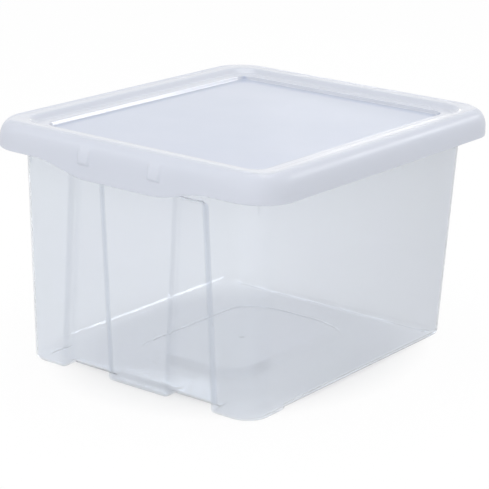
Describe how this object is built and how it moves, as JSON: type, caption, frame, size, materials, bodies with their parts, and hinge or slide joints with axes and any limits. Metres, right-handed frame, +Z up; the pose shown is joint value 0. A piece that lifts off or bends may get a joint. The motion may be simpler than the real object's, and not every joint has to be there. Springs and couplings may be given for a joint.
{
  "type": "plastic storage box",
  "caption": "Clear tapered plastic storage tub with one pillared end, raised floor and rolled rim, closed by a loose frosted lid whose recessed top lets boxes stack.",
  "frame": {"origin": "middle of the footprint, on the surface that the feet stand on", "axes": "+X along the long side, +Y across the box, +Z up, the way the lid lifts"},
  "size_m": [0.486, 0.398, 0.287],
  "materials": {
    "clear_plastic": "clear, slightly hazy polypropylene with a pale blue-lavender tint and a glossy moulded surface",
    "frosted_plastic": "frosted translucent polypropylene, milky white with a cool tint and a soft sheen"
  },
  "bodies": {
    "tub": {"tub": "clear_plastic"},
    "lid": {"lid": "frosted_plastic"}
  },
  "joints": [
    {"name": "lid_lift", "type": "slide", "parent": "tub", "child": "lid", "axis": [0, 0, 1], "range_m": [0, 0.08]}
  ]
}
